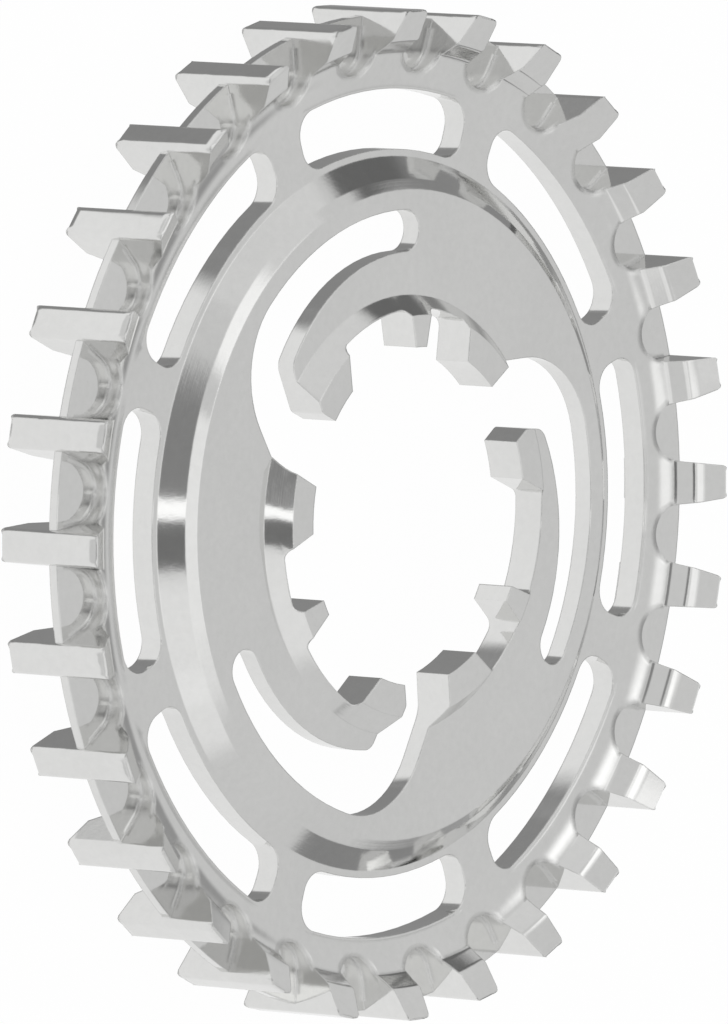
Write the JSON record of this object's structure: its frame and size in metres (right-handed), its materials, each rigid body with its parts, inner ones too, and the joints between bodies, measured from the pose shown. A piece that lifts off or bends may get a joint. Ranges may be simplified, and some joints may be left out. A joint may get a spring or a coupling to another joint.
{
  "type": "belt drive sprocket",
  "caption": "Steel rear sprocket for a toothed bicycle belt, with a thin centre fin between the teeth, curved windows in the web and spiral spring claws round a splined bore.",
  "frame": {"origin": "on the sprocket's axis, in the plane that the rear ends of the teeth rest in", "axes": "+Z along the axis towards the raised hub and boss side, +X through the middle of one tooth and of one window"},
  "size_m": [0.0964, 0.0964, 0.0118],
  "materials": {
    "machined_steel": "satin, fine turned marks"
  },
  "bodies": {
    "root": {"sprocket": "machined_steel"}
  },
  "joints": []
}
